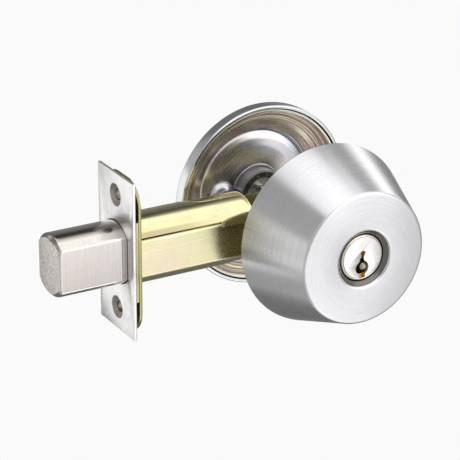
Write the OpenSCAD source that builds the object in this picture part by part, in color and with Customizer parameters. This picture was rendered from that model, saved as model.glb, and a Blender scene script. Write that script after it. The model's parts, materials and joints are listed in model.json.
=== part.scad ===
// Single-cylinder deadbolt door lock, shown assembled with the bolt thrown.
// Origin: where the turning axis crosses the bolt centreline, at mid door thickness.
// The bolt points to -X, the key side faces -Y, the thumbturn side faces +Y.

/* [Door preparation] */
// Distance from the door edge to the turning axis
backset = 69.85; // [66:0.05:76]
// Door thickness the trims clamp
door_t = 40; // [38:0.5:44]

/* [Faceplate and bolt] */
// Faceplate width
face_w = 25.4; // [25.4:0.1:32]
// Faceplate height
face_h = 57.15; // [54:0.05:62]
// Faceplate thickness
face_t = 1.1; // [0.9:0.1:1.1]
// Screw spacing on the faceplate
face_screw_pitch = 41.28; // [40:0.02:44]
// Round bolt radius
bolt_r = 11.1; // [10.9:0.1:11.1]
// Bolt projection when thrown
bolt_throw = 25.4; // [24:0.1:25.4]

/* [Bolt case] */
// Outer radius of the round case tube
case_r = 12.2; // [12.2:0.1:12.6]
// Case sheet thickness
case_t = 0.8; // [0.6:0.1:0.8]
// Half width across the flat case sides
case_a = 10.1; // [10:0.1:10.4]

/* [Key side housing] */
// Housing radius at the door
hous_r0 = 32.7; // [31:0.1:34]
// Housing radius at the front face
hous_r1 = 23.6; // [22:0.1:26]
// Housing depth
hous_d = 27; // [26.6:0.1:30]
// Plug face radius
plug_face_r = 7.4; // [7.2:0.1:7.5]

/* [Thumbturn side] */
// Rose radius at the door
rose_r = 33.7; // [33.4:0.1:36]
// Rose depth
rose_d = 13.6; // [13.6:0.1:15]
// Thumbturn grip length
grip_l = 36; // [30:1:46]
// Thumbturn grip thickness
grip_w = 8; // [7:0.5:10]
// Screw and post spacing from the turning axis
post_x = 14; // [13.8:0.1:14.5]

/* [Hidden] */
eps = 0.02;
fn_large = 72;
fn_mid = 48;
fn_small = 24;

// Door faces and main stations along the through axis
y_in = door_t / 2;
h_rear = door_t / 2;
h_front = h_rear + hous_d;
hous_wall = 2.2;
recess_d = 1.5;
h_plug = h_front - recess_d;
plug_rim_w = 0.75;
plug_r = 6.35;
plug_fit = 0.06;
body_r = plug_face_r + plug_rim_w;
collar_r = 9.8;
h_body_rear = h_rear + 2.4;
h_cam = h_body_rear - 0.6;
cam_r = 7.4;
cam_t = 1.6;

// Key pin stacks
pin_r = 1.4;
pin_fit = 0.05;
pin_pitch = 3.81;
pin_first = 5.2;
pin_count = 5;
shear_z = 6.15;
driver_z = 6.5;
driver_l = 4.2;
bible_w = 7.4;
bible_top = 17;
cover_t = 0.8;
spring_l = bible_top - driver_z - driver_l;

// Bolt line stations
x_face = -backset;
block_t = 1.05;
back_t = 1.1;
x_block = x_face + face_t;
x_back = x_block + block_t;
x_case = x_back + back_t;
x_case_end = 20.2;
x_tube_end = -20.2;
x_sleeve = -34.5;
bolt_len = bolt_throw + 20;
x_tip = x_face - bolt_throw;
bolt_flat = 8.35;
bolt_relief = 7.9;
relief_gap = 1.7;
bolt_chamfer = 1.1;
hole_fit = 0.3;
channel_top = 6.5;
tube_bottom = channel_top + 0.7;
sleeve_bottom = 5.6;
side_i = case_a - case_t;

// Crank and drive
crank_r = bolt_throw / 2 / sin(45);
crank_pin_r = 2.2;
yoke_fit = 0.65;
crank_y = 2.1;
crank_t = 3;
hub_r = 6.2;
journal_r = 5;
tail_w = 6;
tail_t = 2;
tail_half = 1.5;
tail_z0 = -10.9;
tail_z1 = -7.4;

// Rose stations, measured from the door towards the room
trim_wall = 1.2;
rose_flat_r = 26;
y_rose = y_in + rose_d;
plate_r = rose_r - trim_wall - 0.35;
plate_in = 23.1;
hub_tube_r = 8.9;
bush_r = 8.2;
spindle_r = 6.2;
boss_r = 5.5;
screw_r = 2.4;
screw_head_r = 4.3;

brushed = [0.78, 0.78, 0.79];
nickel = [0.80, 0.79, 0.76];
steel = [0.68, 0.68, 0.67];
dichromate = [0.83, 0.78, 0.55];
bolt_steel = [0.74, 0.71, 0.67];
zinc = [0.60, 0.54, 0.50];
brass = [0.78, 0.62, 0.30];
black = [0.06, 0.06, 0.06];

// Turns local +Z towards the key side
module to_key() {
  rotate([90, 0, 0]) children();
}

// Turns local +Z towards the thumbturn side
module to_room() {
  rotate([-90, 0, 0]) children();
}

// Turns local +Z along +X
module along_bolt() {
  rotate([0, 90, 0]) children();
}

// Quarter round points about a centre
function fillet(cx, cy, r, a0, a1, n = 4) =
  [for (i = [0 : n]) [cx + r * cos(a0 + (a1 - a0) * i / n), cy + r * sin(a0 + (a1 - a0) * i / n)]];

// Hollow tube of given radii
module tube(ro, ri, h, fn = fn_mid) {
  difference() {
    cylinder(r = ro, h = h, $fn = fn);
    translate([0, 0, -1]) cylinder(r = ri, h = h + 2, $fn = fn);
  }
}

// Tapered spun shell with a dished opening for the lock cylinder
module cylinder_housing() {
  front_round = 1.1;
  lip = 0.6;
  inner_floor = h_front - 3.4;
  color(brushed) to_key() rotate_extrude($fn = 96) polygon(concat(
    [[hous_r0 - 1.1, h_rear]],
    fillet(hous_r0 - 0.5, h_rear + 0.5, 0.5, -90, 10),
    fillet(hous_r1 - front_round, h_front - front_round, front_round, 18, 90),
    fillet(collar_r + lip + 0.2, h_front - lip, lip, 90, 180),
    [[collar_r + 0.1, h_front - 1.0], [collar_r + 0.1, inner_floor]],
    [[hous_r1 - hous_wall - 0.8, inner_floor], [hous_r0 - hous_wall, h_rear + 1.5]],
    [[hous_r0 - hous_wall, h_rear]]));
}

// Concave guard ring round the plug
module cylinder_collar() {
  in_r = body_r + 0.1;
  color(zinc) to_key() rotate_extrude($fn = fn_large) polygon([
    [in_r, h_front - 3.4], [collar_r, h_front - 3.4], [collar_r, h_front - 0.75],
    [collar_r - 0.5, h_front - 1.35], [collar_r - 0.95, h_front - 1.9],
    [in_r + 0.25, h_front - 2.3], [in_r, h_front - 2.4]]);
}

// Broached key opening, as a flat outline in plug coordinates
module keyway_outline() {
  blob_r = 0.95;
  blob_z = 1.45;
  eye_r = 2.55;
  eye_z = -3.7;
  translate([0.1, blob_z]) circle(r = blob_r, $fn = fn_small);
  translate([-0.85, eye_z]) square([1.35, blob_z - eye_z - 0.3]);
  translate([0, eye_z]) circle(r = eye_r, $fn = 32);
  translate([-1.15, -plug_face_r - 1]) square([2.3, plug_face_r + 1 + eye_z]);
}

// Lock cylinder body: bored barrel with the pin chamber block above it
module cylinder_body() {
  flange_r = collar_r + 1.6;
  color(brass) difference() {
    union() {
      to_key() translate([0, 0, h_body_rear]) cylinder(r = body_r, h = h_plug - h_body_rear, $fn = fn_large);
      to_key() translate([0, 0, h_front - 6]) cylinder(r = flange_r, h = 2.5, $fn = fn_large);
      translate([-bible_w / 2, -h_front + 6.5, 0]) cube([bible_w, hous_d - 9, bible_top]);
    }
    to_key() translate([0, 0, h_body_rear - 1]) cylinder(r = plug_r + plug_fit, h = hous_d, $fn = fn_mid);
    to_key() translate([0, 0, h_plug - 1.6]) cylinder(r = plug_face_r + plug_fit, h = 3, $fn = fn_large);
    pin_places() translate([0, 0, plug_r - 1]) cylinder(r = pin_r + pin_fit, h = bible_top, $fn = fn_small);
  }
}

// Puts a child at every pin chamber, local +Z up
module pin_places() {
  for (i = [0 : pin_count - 1])
    translate([0, -(h_plug - pin_first - i * pin_pitch), 0]) children();
}

// Strip closing the pin chambers
module spring_cover() {
  first = h_plug - pin_first + 2.5;
  len = (pin_count - 1) * pin_pitch + 5;
  color(brass) translate([-bible_w / 2 + 0.4, -first, bible_top]) cube([bible_w - 0.8, len, cover_t]);
}

// Upper pins held above the shear line
module driver_pins() {
  color(steel) pin_places() translate([0, 0, driver_z]) cylinder(r = pin_r, h = driver_l, $fn = fn_small);
}

// Coil springs above the upper pins
module pin_springs() {
  turns = 5;
  wave = 0.28;
  ro = pin_r - 0.05;
  step = (spring_l - 0.1) / turns;
  color(steel) pin_places() translate([0, 0, driver_z + driver_l + 0.05])
    rotate_extrude($fn = 20) polygon(concat(
      [for (i = [0 : turns * 2]) [ro - wave * (i % 2), i * step / 2]],
      [for (i = [turns * 2 : -1 : 0]) [ro - wave - 0.2 - wave * (i % 2), i * step / 2]]));
}

// Steel plate closing the back of the housing
module support_plate() {
  plate_out = hous_r0 - hous_wall - 0.6;
  color(dichromate) to_key() translate([0, 0, h_rear + 0.4]) difference() {
    cylinder(r = plate_out, h = 1.6, $fn = fn_large);
    translate([0, 0, -1]) cylinder(r = cam_r + 1.4, h = 4, $fn = fn_mid);
    for (s = [-1, 1])
      translate([s * post_x, 0, -1]) cylinder(r = 3.1, h = 4, $fn = fn_small);
  }
}

// Threaded posts the through screws pull against
module mounting_posts() {
  shank_r = 3.05;
  head_r = 4.3;
  y_end = case_a + 0.6;
  color(steel) for (s = [-1, 1])
    translate([s * post_x, 0, 0]) to_key() difference() {
      union() {
        translate([0, 0, y_end]) cylinder(r = shank_r, h = h_rear + 2 - y_end, $fn = fn_small);
        translate([0, 0, h_rear + 2]) cylinder(r = head_r, h = 1.8, $fn = fn_small);
      }
      translate([0, 0, y_end - 1]) cylinder(r = screw_r + 0.05, h = h_rear + 8 - y_end, $fn = fn_small);
    }
}

// Key plug with its face, barrel, key opening and pin holes
module key_plug() {
  head_t = 1.5;
  color(nickel) difference() {
    union() {
      to_key() translate([0, 0, h_cam]) cylinder(r = plug_r, h = h_plug - h_cam - 0.5, $fn = fn_mid);
      to_key() translate([0, 0, h_plug - head_t]) cylinder(r = plug_face_r, h = head_t - 0.2, $fn = fn_large);
      to_key() translate([0, 0, h_plug - 0.2])
        cylinder(r1 = plug_face_r, r2 = plug_face_r - 0.2, h = 0.2, $fn = fn_large);
    }
    to_key() translate([0, 0, h_cam + 3]) linear_extrude(hous_d) keyway_outline();
    pin_places() cylinder(r = pin_r + pin_fit, h = plug_r + 2, $fn = fn_small);
    cam_screw_places() cylinder(r = 1.05, h = 3.2, $fn = fn_small);
  }
}

// Lower pins, tops level with the shear line
module key_pins() {
  lengths = [3.6, 4.4, 3.2, 4.0, 3.0];
  color(brass) for (i = [0 : pin_count - 1])
    translate([0, -(h_plug - pin_first - i * pin_pitch), shear_z - lengths[i]])
      cylinder(r = pin_r, h = lengths[i], $fn = fn_small);
}

// Hardened pin in the side of the key opening
module drill_pin() {
  r = 1.35;
  color(steel) translate([1.1, 0, -3.7]) to_key() translate([0, 0, h_plug - 12]) union() {
    cylinder(r = r, h = 10.9, $fn = fn_small);
    translate([0, 0, 10.9]) cylinder(r1 = r, r2 = r * 0.55, h = 0.55, $fn = fn_small);
  }
}

// Puts a child at the two cam screws, local +Z towards the key side
module cam_screw_places() {
  for (s = [-1, 1])
    translate([s * 4.2, -h_cam, 0]) to_key() children();
}

// Lost motion cup behind the plug
module plug_cam() {
  color(steel) difference() {
    union() {
      to_key() translate([0, 0, h_cam - cam_t]) cylinder(r = cam_r, h = cam_t, $fn = fn_mid);
      to_key() translate([0, 0, h_cam - cam_t - 2.4]) tube(cam_r, cam_r - 1.1, 2.5);
    }
    for (s = [-1, 1])
      translate([s * 4.2, 0, 0]) to_key() translate([0, 0, h_cam - cam_t - 1])
        cylinder(r = 1.1, h = cam_t + 2, $fn = fn_small);
  }
}

// Small screws holding the cam to the plug
module cam_screws() {
  color(steel) cam_screw_places() union() {
    translate([0, 0, -cam_t - 0.1]) cylinder(r = 1.0, h = cam_t + 2.7, $fn = fn_small);
    translate([0, 0, -cam_t - 0.6]) cylinder(r = 1.6, h = 0.6, $fn = fn_small);
  }
}

// Flat bar carrying the turn through the bolt hub
module tailpiece() {
  y_head = h_cam - cam_t - 1.6;
  y_far = y_in + 5.5;
  color(steel) union() {
    to_key() translate([0, 0, y_head - 1.0]) cylinder(r = cam_r - 1.5, h = 1.0, $fn = fn_mid);
    translate([-tail_t / 2, -y_head + 0.5, -tail_w / 2]) cube([tail_t, y_far + y_head - 0.5, tail_w]);
  }
}

// Hub and crank arm turning between the case sides
module crank_hub() {
  color(steel) difference() {
    union() {
      to_room() translate([0, 0, -case_a - 0.2]) cylinder(r = journal_r, h = 2 * case_a + 0.4, $fn = fn_mid);
      to_room() translate([0, 0, -side_i + 0.3]) cylinder(r = hub_r, h = 2 * side_i - 0.6, $fn = fn_mid);
      translate([0, crank_y, 0]) to_room() linear_extrude(crank_t) crank_outline();
    }
    translate([-tail_t / 2 - 0.08, -case_a - 2, -tail_w / 2 - 0.08])
      cube([tail_t + 0.16, 2 * case_a + 4, tail_w + 0.16]);
    crank_end() translate([0, 0, -1]) cylinder(r = crank_pin_r + 0.02, h = crank_t + 2, $fn = fn_mid);
  }
}

// Crank arm seen from the room side, X right and Y down
module crank_outline() {
  arm_w = 6.4;
  rotate(135) translate([2, -arm_w / 2]) square([crank_r - 2, arm_w]);
  translate([-bolt_throw / 2, bolt_throw / 2]) circle(r = arm_w / 2 + 0.6, $fn = fn_mid);
}

// Puts a child at the crank end, local +Z towards the room
module crank_end() {
  translate([-bolt_throw / 2, crank_y, -bolt_throw / 2]) to_room() children();
}

// Pin in the crank end that works in the bolt tail slot
module crank_pin() {
  color(steel) crank_end() translate([0, 0, -crank_y - tail_half - 0.4])
    cylinder(r = crank_pin_r, h = crank_t + crank_y + tail_half + 0.8, $fn = fn_mid);
}

// Bolt section: a round bar cut by two flats, outline in the YZ plane
module bolt_outline(r, flat, fn = fn_large) {
  intersection() {
    circle(r = r, $fn = fn);
    square([2 * r + 2, 2 * flat], center = true);
  }
}

// Thin front plate with two countersunk holes and the bolt opening
module faceplate() {
  csk_r = 4.1;
  hole_r = 2.4;
  csk_d = 0.6 * face_t;
  color(brushed) difference() {
    translate([x_face, -face_w / 2, -face_h / 2]) cube([face_t, face_w, face_h]);
    bolt_opening(x_face);
    for (s = [-1, 1])
      translate([x_face, 0, s * face_screw_pitch / 2]) along_bolt() {
        translate([0, 0, -1]) cylinder(r = hole_r, h = 4, $fn = 32);
        translate([0, 0, -eps]) cylinder(r1 = csk_r, r2 = hole_r, h = csk_d, $fn = fn_mid);
      }
  }
}

// Opening that clears the bolt, cut from a plate starting at x0
module bolt_opening(x0) {
  translate([x0 - 1, 0, 0]) along_bolt() linear_extrude(6)
    bolt_outline(bolt_r + hole_fit, bolt_flat + hole_fit);
}

// Spacer block between faceplate and backing plate
module front_block() {
  h = 29;
  color(dichromate) difference() {
    translate([x_block, -face_w / 2, -h / 2]) cube([block_t, face_w, h]);
    bolt_opening(x_block);
  }
}

// Backing plate with rounded ends and a drawn, tapped boss behind each faceplate screw
module backing_plate() {
  corner_r = 9;
  half_h = 27.6;
  corner_y = face_w / 2 - corner_r;
  corner_z = half_h - corner_r;
  drawn_r = 3.6;
  tap_r = 2.1;
  color(dichromate) difference() {
    union() {
      translate([x_back, 0, 0]) along_bolt() linear_extrude(back_t) polygon(concat(
        fillet(corner_z, corner_y, corner_r, 0, 90, 12),
        fillet(-corner_z, corner_y, corner_r, 90, 180, 12),
        fillet(-corner_z, -corner_y, corner_r, 180, 270, 12),
        fillet(corner_z, -corner_y, corner_r, 270, 360, 12)));
      for (s = [-1, 1])
        translate([x_block, 0, s * face_screw_pitch / 2]) along_bolt()
          cylinder(r = drawn_r, h = block_t + back_t / 2, $fn = fn_mid);
    }
    bolt_opening(x_back);
    for (s = [-1, 1])
      translate([x_block - 1, 0, s * face_screw_pitch / 2]) along_bolt()
        cylinder(r = tap_r, h = 6, $fn = 32);
  }
}

// Upper half tube that carries the bolt
module case_tube() {
  color(dichromate) difference() {
    translate([x_case, 0, 0]) along_bolt() difference() {
      cylinder(r = case_r, h = x_sleeve - x_case, $fn = 96);
      translate([0, 0, -1]) cylinder(r = case_r - case_t, h = 60, $fn = 96);
    }
    translate([x_case - 1, -20, -40]) cube([60, 40, 40 + tube_bottom]);
  }
}

// Wider rounded sleeve ending the tube
module case_sleeve() {
  len = x_tube_end - x_sleeve;
  end_round = 2.2;
  color(dichromate) difference() {
    translate([x_sleeve, 0, 0]) along_bolt() rotate_extrude($fn = 96) polygon(concat(
      [[case_r - case_t, 0], [case_r, 0]],
      fillet(case_r - end_round, len - end_round, end_round, 0, 90, 5),
      [[case_r - end_round - 1.2, len], [case_r - end_round - 1.2, len - case_t]],
      fillet(case_r - end_round - 0.1, len - end_round, end_round - case_t + 0.1, 90, 0, 4)));
    translate([x_sleeve - 1, -20, -40]) cube([60, 40, 40 + sleeve_bottom]);
  }
}

// Folded lower channel: flat sides, round bottom, open at the crank
module case_channel() {
  len = x_case_end - x_case;
  slot_x = -29;
  color(dichromate) difference() {
    translate([x_case, 0, 0]) along_bolt() linear_extrude(len) difference() {
      intersection() {
        circle(r = case_r, $fn = 96);
        translate([-channel_top, -case_a]) square([30, 2 * case_a]);
      }
      intersection() {
        circle(r = case_r - case_t, $fn = 96);
        translate([-20, -side_i]) square([50, 2 * side_i]);
      }
    }
    translate([slot_x, -side_i + 1.3, -20]) cube([60, 2 * side_i - 2.6, 15]);
    translate([x_sleeve - 0.15, -20, sleeve_bottom - 0.15]) cube([x_tube_end - x_sleeve + 0.3, 40, 10]);
    translate([0, 20, 0]) to_key() cylinder(r = journal_r + 0.06, h = 40, $fn = fn_mid);
    for (s = [-1, 1])
      translate([s * post_x, 20, 0]) to_key() cylinder(r = screw_r + 0.3, h = 40, $fn = fn_small);
    rivet_places() translate([0, 0, -1]) cylinder(r = 1.02, h = 4, $fn = fn_small);
  }
}

// Puts a child at the rivets along both case sides, local +Z outward
module rivet_places() {
  for (x = [-5.5, 18])
    for (s = [-1, 1])
      translate([x, s * (side_i - 0.1), -5.2])
        rotate([-90 * s, 0, 0]) children();
}

// Short rivets closing the case sides on the hub end
module case_rivets() {
  color(steel) rivet_places() translate([0, 0, 0.1]) cylinder(r = 1, h = case_t, $fn = fn_small);
}

// Leaf spring under the tube roof that steadies the bolt tail
module detent_spring() {
  color(steel) translate([-32, -side_i + 0.02, -6.2]) cube([12, 0.5, 10]);
}

// Solid bolt with side flats, a bevelled tip and an internal pin bore
module bolt() {
  bore_r = 3.3;
  color(bolt_steel) difference() {
    translate([x_tip, 0, 0]) along_bolt() union() {
      intersection() {
        union() {
          cylinder(r1 = bolt_r - bolt_chamfer, r2 = bolt_r, h = bolt_chamfer, $fn = 96);
          translate([0, 0, bolt_chamfer]) cylinder(r = bolt_r, h = bolt_len - bolt_chamfer, $fn = 96);
        }
        translate([-20, -bolt_flat, 0]) cube([40, 2 * bolt_flat, bolt_len]);
      }
    }
    for (s = [-1, 1])
      translate([x_tip - 1, s * (bolt_relief + 5) - 5, -20]) cube([bolt_throw + 1 - relief_gap, 10, 40]);
    translate([x_tip + 4, 0, 0]) along_bolt() cylinder(r = bore_r, h = bolt_len, $fn = 32);
    translate([x_tip + bolt_len - 9, -tail_half - 0.05, -20]) cube([12, 2 * tail_half + 0.1, 18]);
    tail_pin_place() cylinder(r = 1.55, h = 30, center = true, $fn = fn_small);
  }
}

// Puts a child on the tail pin axis
module tail_pin_place() {
  translate([x_tip + bolt_len - 5, 0, -7.2]) to_room() children();
}

// Link plate with the upright slot for the crank pin
module bolt_tail() {
  x0 = x_tip + bolt_len - 8.5;
  x1 = -bolt_throw / 2;
  slot = crank_pin_r + yoke_fit;
  yoke_wall = 1.6;
  yoke_w = slot + yoke_wall;
  yoke_z = -crank_r - slot - yoke_wall;
  color(steel) difference() {
    union() {
      translate([x0, -tail_half, tail_z0]) cube([x1 - x0, 2 * tail_half, tail_z1 - tail_z0]);
      translate([x1 - yoke_w, -tail_half, yoke_z]) cube([2 * yoke_w, 2 * tail_half, tail_z1 - yoke_z]);
    }
    translate([x1, 10, -bolt_throw / 2 + 0.6]) to_key() cylinder(r = slot, h = 20, $fn = fn_mid);
    translate([x1, 10, -crank_r]) to_key() cylinder(r = slot, h = 20, $fn = fn_mid);
    translate([x1 - slot, -10, -crank_r]) cube([2 * slot, 20, crank_r - bolt_throw / 2 + 0.6]);
    tail_pin_place() cylinder(r = 1.55, h = 30, center = true, $fn = fn_small);
  }
}

// Cross pin joining tail and bolt
module tail_pin() {
  pin_len = 2 * bolt_relief - 1.6;
  color(steel) tail_pin_place() cylinder(r = 1.5, h = pin_len, center = true, $fn = fn_small);
}

// Hardened roller free to spin inside the bolt
module roller_insert() {
  color(steel) translate([x_tip + 4.3, 0, 0]) along_bolt() cylinder(r = 3.22, h = 24, $fn = 32);
}

// Brushed room side cover
module rose_trim() {
  step = 4.6;
  hole = 10.4;
  out_round = 1.2;
  h1 = rose_d;
  color(brushed) to_room() translate([0, 0, y_in]) rotate_extrude($fn = 96) polygon(concat(
    [[rose_r - trim_wall, 0]],
    fillet(rose_r - 0.4, 0.4, 0.4, -90, 0),
    [[rose_r, step]],
    fillet(rose_flat_r - out_round, h1 - out_round, out_round, 25, 90),
    [[hole, h1], [hole, h1 - 1.2], [rose_flat_r - 2.4, h1 - 1.2]],
    [[rose_r - trim_wall, step - 0.3]]));
}

// Dichromated ring plate with pressed ridges, seen from the door side
module rose_plate() {
  rim_h = 0.5;
  color(zinc) to_room() translate([0, 0, y_in]) rotate_extrude($fn = 96) polygon([
    [plate_r - 1.1, rim_h], [plate_r - 0.3, rim_h - 0.15], [plate_r, rim_h + 0.3], [plate_r, rim_h + 4.2],
    [plate_in + 0.6, 7.3], [plate_in, 7.3], [plate_in, 6.5], [25.2, 5.7], [25.6, 5.2],
    [27.4, 4.5], [27.8, 3.9], [28.3, 3.9], [28.6, 4.3], [29.6, 3.6], [29.9, 3.0],
    [30.4, 3.0], [30.7, 3.2], [plate_r - 1.1, 1.7]]);
}

// Silver dish carrying the turn, with two screw cups
module turn_dish() {
  t = 1.6;
  hub_h = 1.0;
  hub_top = 9.8;
  floor_h = 6.5;
  flange_r = 24.4;
  flange_h = 7.34;
  cup_h = 8.3;
  pocket_h = 6.0;
  color(steel) difference() {
    union() {
      to_room() translate([0, 0, y_in]) rotate_extrude($fn = 96) polygon([
        [bush_r, hub_h], [hub_tube_r - 0.2, hub_h], [hub_tube_r, hub_h + 0.3], [hub_tube_r, 5.4],
        [9.3, 6.1], [10.4, floor_h], [16.5, floor_h], [19.5, 6.9], [21.8, 7.7], [22.9, 8.5],
        [23.3, 8.5], [23.45, flange_h], [flange_r, flange_h], [flange_r, 9.1], [22.4, 9.9],
        [18, floor_h + t], [10, floor_h + t], [10, hub_top], [bush_r, hub_top]]);
      for (s = [-1, 1])
        translate([s * post_x, y_in + cup_h, 0]) to_key() rotate_extrude($fn = fn_mid)
          polygon(concat([[0, 0]], fillet(0, 0, boss_r, 0, 60, 6), [[0, boss_r * sin(60)]]));
    }
    for (s = [-1, 1])
      translate([s * post_x, 0, 0]) to_room() {
        cylinder(r = screw_r + 0.15, h = 60, $fn = fn_small);
        translate([0, 0, y_in + pocket_h]) cylinder(r = screw_head_r + 0.1, h = 20, $fn = 32);
      }
  }
}

// Black bearing bush in the hub tube
module turn_bushing() {
  color(black) to_room() translate([0, 0, y_in + 1.3])
    tube(bush_r - 0.02, spindle_r + 0.08, 9.5, fn_mid);
}

// Slotted drive spindle between tailpiece and thumbturn
module turn_spindle() {
  y0 = y_in + 1.8;
  depth = 6;
  color(steel) difference() {
    to_room() translate([0, 0, y0]) cylinder(r = spindle_r, h = y_rose + 1.5 - y0, $fn = fn_mid);
    translate([-tail_t / 2 - 0.15, y0 - 1, -tail_w / 2 - 0.15])
      cube([tail_t + 0.3, depth + 1, tail_w + 0.3]);
    to_room() translate([0, 0, y_rose - 2.6]) tube(spindle_r + 1, spindle_r - 0.9, 1.0);
  }
}

// Thumbturn with a flat oval grip on a round foot
module thumbturn() {
  foot_r = 10;
  foot_h = 3;
  y0 = y_rose + 0.35;
  grip_h = 17;
  end_r = grip_w / 2;
  color(brushed) difference() {
    union() {
      to_room() translate([0, 0, y0]) cylinder(r = foot_r, h = foot_h - 0.6, $fn = fn_large);
      to_room() translate([0, 0, y0 + foot_h - 0.6])
        cylinder(r1 = foot_r, r2 = foot_r - 0.6, h = 0.6, $fn = fn_large);
      intersection() {
        to_room() translate([0, 0, y0 + 1]) linear_extrude(grip_h) union() {
          square([grip_l - grip_w, grip_w], center = true);
          for (s = [-1, 1])
            translate([s * (grip_l / 2 - end_r), 0]) circle(r = end_r, $fn = 40);
        }
        translate([0, y0 + grip_h + 1 - 34, -20]) cylinder(r = 34, h = 40, $fn = 120);
      }
    }
    to_room() translate([0, 0, y0 - 1]) cylinder(r = spindle_r + 0.05, h = 1 + 1.2, $fn = fn_mid);
  }
}

// Spring clip in the spindle groove
module turn_clip() {
  y0 = y_rose - 2.5;
  color(steel) difference() {
    to_room() translate([0, 0, y0]) tube(spindle_r + 1.8, spindle_r - 0.85, 0.8);
    translate([-2.5, y0 - 1, -12]) cube([5, 3, 12]);
  }
}

// Thin spring washer under the thumbturn foot
module wave_washer() {
  color(steel) to_room() translate([0, 0, y_rose]) tube(9.6, spindle_r + 0.5, 0.2);
}

// Long through screws from the room side
module mounting_screws() {
  y_head = y_in + 6.1;
  slot_w = 1.2;
  slot_h = 0.9;
  head_h = 2.2;
  color(steel) for (s = [-1, 1])
    translate([s * post_x, 0, 0]) to_room() difference() {
      union() {
        translate([0, 0, -h_rear - 1.2]) cylinder(r = screw_r, h = h_rear + 1.2 + y_head, $fn = fn_small);
        translate([0, 0, y_head]) cylinder(r = screw_head_r, h = head_h, $fn = 32);
      }
      translate([-slot_w / 2, -screw_head_r - 1, y_head + head_h - slot_h])
        cube([slot_w, 2 * screw_head_r + 2, 2]);
      translate([-screw_head_r - 1, -slot_w / 2, y_head + head_h - slot_h])
        cube([2 * screw_head_r + 2, slot_w, 2]);
    }
}

cylinder_housing();
cylinder_collar();
cylinder_body();
spring_cover();
driver_pins();
pin_springs();
support_plate();
mounting_posts();
key_plug();
key_pins();
drill_pin();
plug_cam();
cam_screws();
tailpiece();
crank_hub();
crank_pin();
faceplate();
front_block();
backing_plate();
case_tube();
case_sleeve();
case_channel();
case_rivets();
detent_spring();
bolt();
bolt_tail();
tail_pin();
roller_insert();
rose_trim();
rose_plate();
turn_dish();
turn_bushing();
turn_spindle();
thumbturn();
turn_clip();
wave_washer();
mounting_screws();
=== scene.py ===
"""Looks of the deadbolt door lock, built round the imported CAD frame. Lengths are in metres."""

import json
import math

import bmesh
import bpy
from mathutils import Matrix, Vector


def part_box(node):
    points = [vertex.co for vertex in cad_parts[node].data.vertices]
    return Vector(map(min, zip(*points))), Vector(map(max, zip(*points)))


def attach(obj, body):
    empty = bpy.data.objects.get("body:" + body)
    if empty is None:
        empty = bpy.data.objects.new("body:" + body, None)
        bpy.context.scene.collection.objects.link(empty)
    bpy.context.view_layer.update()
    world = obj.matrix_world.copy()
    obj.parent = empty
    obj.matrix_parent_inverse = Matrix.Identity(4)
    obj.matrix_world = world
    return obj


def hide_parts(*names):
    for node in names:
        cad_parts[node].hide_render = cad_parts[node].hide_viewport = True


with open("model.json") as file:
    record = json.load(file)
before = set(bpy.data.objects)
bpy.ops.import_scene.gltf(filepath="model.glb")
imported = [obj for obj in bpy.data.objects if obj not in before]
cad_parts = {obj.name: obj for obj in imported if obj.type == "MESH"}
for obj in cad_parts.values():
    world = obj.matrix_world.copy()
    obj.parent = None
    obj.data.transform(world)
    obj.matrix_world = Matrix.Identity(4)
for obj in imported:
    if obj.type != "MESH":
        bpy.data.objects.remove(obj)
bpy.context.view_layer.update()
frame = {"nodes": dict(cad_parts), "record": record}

MM = 0.001
TAU = 2 * math.pi
BOX = {name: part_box(name) for name in frame["nodes"]}
BODY_OF = {n: b for b, ns in frame["record"]["behaviour"]["bodies"].items() for n in ns}
# faceplate screw holes stand this far above and below the bolt line
SCREW_Z = 41.28 * MM / 2
# fold line of the case roof, degrees from its top
CREASE_DEG = 44


# ---------------------------------------------------------------- mesh helpers


def new_mesh(name, verts, faces):
    mesh = bpy.data.meshes.new(name)
    mesh.from_pydata([tuple(v) for v in verts], [], faces)
    mesh.validate()
    obj = bpy.data.objects.new(name, mesh)
    bpy.context.scene.collection.objects.link(obj)
    fix_normals(obj)
    return obj


def fix_normals(obj):
    bm = bmesh.new()
    bm.from_mesh(obj.data)
    bmesh.ops.remove_doubles(bm, verts=bm.verts, dist=1e-7)
    bmesh.ops.recalc_face_normals(bm, faces=bm.faces)
    bm.to_mesh(obj.data)
    bm.free()


def smooth(obj, angle=32):
    """Smooth shading with sharp edges kept sharp."""
    bm = bmesh.new()
    bm.from_mesh(obj.data)
    limit = math.radians(angle)
    for f in bm.faces:
        f.smooth = True
    for e in bm.edges:
        sharp = len(e.link_faces) != 2 or e.calc_face_angle(0) > limit
        e.smooth = not sharp
    bm.to_mesh(obj.data)
    bm.free()
    return obj


def apply_modifiers(obj):
    bpy.context.view_layer.update()
    dg = bpy.context.evaluated_depsgraph_get()
    mesh = bpy.data.meshes.new_from_object(obj.evaluated_get(dg))
    obj.modifiers.clear()
    obj.data = mesh
    return obj


def bevel(obj, width, segments=3, angle=30):
    m = obj.modifiers.new("bevel", "BEVEL")
    m.width = width
    m.segments = segments
    m.limit_method = "ANGLE"
    m.angle_limit = math.radians(angle)
    return apply_modifiers(obj)


def boolean(obj, cutter, operation="DIFFERENCE"):
    m = obj.modifiers.new("cut", "BOOLEAN")
    m.operation = operation
    m.solver = "EXACT"
    m.object = cutter
    apply_modifiers(obj)
    bpy.data.objects.remove(cutter)
    return obj


def join(name, objs):
    bm = bmesh.new()
    for o in objs:
        bm.from_mesh(o.data)
    mesh = bpy.data.meshes.new(name)
    bm.to_mesh(mesh)
    bm.free()
    for o in objs:
        bpy.data.objects.remove(o)
    obj = bpy.data.objects.new(name, mesh)
    bpy.context.scene.collection.objects.link(obj)
    return obj

def ease(t):
    """Soft start and end for a value that runs from 0 to 1."""
    return t * t * (3 - 2 * t)


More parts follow.
